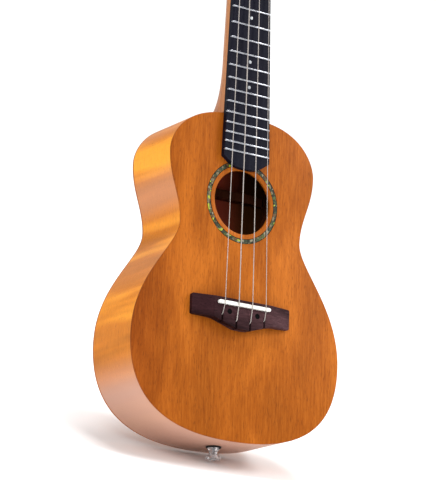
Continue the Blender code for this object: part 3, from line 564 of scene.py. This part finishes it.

# ------------------------------------------------------------------ tuners: bushings and windings
POSTS = {"g": (-1, 36.0, 0.36), "c": (-1, 74.0, 0.51), "e": (1, 74.0, 0.41), "a": (1, 36.0, 0.31)}
GEAR_H = -17.05
for k, (sx, s, r) in POSTS.items():
    at = HEAD @ Matrix.Translation((sx * 15 * MM, s * MM, 0))
    me = lathe([(3.25, 0.05), (3.25, 1.0), (4.2, 1.2), (5.2, 0.8), (5.4, 0.05)], 40, at, "bush")
    piece("bushing_" + k, me, CHROME)
    # four turns of string round the post, a little under the end where the string arrives
    bm = bmesh.new()
    turns, per, sides = 3.25, 28, 8
    prev = None
    pr = 3.0 + r + 0.02
    for i in range(int(turns * per) + 1):
        a = 2 * math.pi * i / per
        h = 4.6 - (2 * r + 0.04) * i / per * 0.98 + 1.2 * 0
        c = Vector((pr * math.cos(a), -sx * pr * math.sin(a), h))
        out = Vector((math.cos(a), -sx * math.sin(a), 0))
        loop = [bm.verts.new(at @ ((c + out * r * math.cos(2 * math.pi * j / sides) + Vector((0, 0, r * math.sin(2 * math.pi * j / sides)))) * MM))
                for j in range(sides)]
        if prev:
            for j in range(sides):
                q = (j + 1) % sides
                bm.faces.new((prev[j], prev[q], loop[q], loop[j]))
        else:
            bm.faces.new(loop)
        prev = loop
    bm.faces.new(list(reversed(prev)))
    piece("winding_" + k, bm_mesh(bm, "winding"), NYLON, body="post_" + k, smooth=60)

# ------------------------------------------------------------------ camera, floor and light
cam_data = bpy.data.cameras.new("camera")
cam = bpy.data.objects.new("camera", cam_data)
bpy.context.scene.collection.objects.link(cam)
cam_data.sensor_fit = "HORIZONTAL"
cam_data.sensor_width = 36.0
cam_data.lens = 2579.79 / 437 * 36.0
cam_data.clip_start, cam_data.clip_end = 0.1, 60.0
right = Vector((0.835788, -0.547919, 0.035249))
up = Vector((-0.168433, -0.194763, 0.966280))
back = Vector((-0.522579, -0.813543, -0.255069))
m = Matrix.Identity(4)
for i in range(3):
    m[i][0], m[i][1], m[i][2] = right[i], up[i], back[i]
m[0][3], m[1][3], m[2][3] = -1.2048156, -1.8389238, -0.9055195
cam.matrix_world = m
bpy.context.scene.camera = cam

# the instrument leans back on its tail: the floor passes under the strap button and the back's lower edge
LEAN = math.radians(25.0)
normal = Vector((0, -math.sin(LEAN), math.cos(LEAN)))
low = min(normal.dot(Vector(p)) for p in ((0, 0.0655, -0.5055), (0, 0.0394, -0.5172), (0, 0.0, -0.5055)))
bm = bmesh.new()
bmesh.ops.create_grid(bm, x_segments=2, y_segments=2, size=14.0)
floor = bpy.data.objects.new("floor", bm_mesh(bm, "floor"))
bpy.context.scene.collection.objects.link(floor)
floor.matrix_world = Matrix.Translation(normal * (low - 0.0006)) @ Matrix.Rotation(LEAN, 4, "X")
fm, fnt, fb = new_mat("floor_paper", 0.9)
fn = noise(fnt, coords(fnt, (6, 6, 6)), 1.0, 3.0)
fnt.links.new(ramp(fnt, fn, [(0.3, (0.93, 0.93, 0.935)), (0.7, (0.96, 0.96, 0.962))]), fb.inputs["Base Color"])
floor.data.materials.append(fm)


def area(name, pos, target, size, power, colour=(1, 1, 1)):
    ld = bpy.data.lights.new(name, "AREA")
    ld.shape = "RECTANGLE"
    ld.size, ld.size_y = size
    ld.energy = power
    ld.color = colour
    ob = bpy.data.objects.new(name, ld)
    bpy.context.scene.collection.objects.link(ob)
    ob.location = pos
    d = Vector(target) - Vector(pos)
    ob.rotation_euler = d.to_track_quat("-Z", "Y").to_euler()
    return ob


sun_data = bpy.data.lights.new("sun", "SUN")
sun_data.energy = 2.1
sun_data.angle = math.radians(30)
sun = bpy.data.objects.new("sun", sun_data)
bpy.context.scene.collection.objects.link(sun)
sun.rotation_euler = Vector((-0.06, 0.26, -0.96)).to_track_quat("-Z", "Y").to_euler()
area("key", (1.25, -0.95, 0.55), (0.0, 0, -0.32), (0.5, 0.5), 14)
area("key_low", (0.72, -0.62, -0.12), (0.07, 0, -0.36), (0.25, 0.4), 1.3)
area("fill_left", (-1.35, -1.55, 0.05), (0, 0.03, -0.33), (0.6, 1.2), 15)
world = bpy.data.worlds.new("studio")
bpy.context.scene.world = world
world.use_nodes = True
bg = world.node_tree.nodes["Background"]
bg.inputs["Color"].default_value = (1, 1, 1, 1)
bg.inputs["Strength"].default_value = 0.80
wl = world.node_tree.nodes.new("ShaderNodeLightPath")
wm = world.node_tree.nodes.new("ShaderNodeMapRange")
wm.inputs["To Min"].default_value, wm.inputs["To Max"].default_value = 0.60, 1.03
world.node_tree.links.new(wl.outputs["Is Camera Ray"], wm.inputs["Value"])
world.node_tree.links.new(wm.outputs["Result"], bg.inputs["Strength"])
bpy.context.scene.view_settings.view_transform = "Standard"
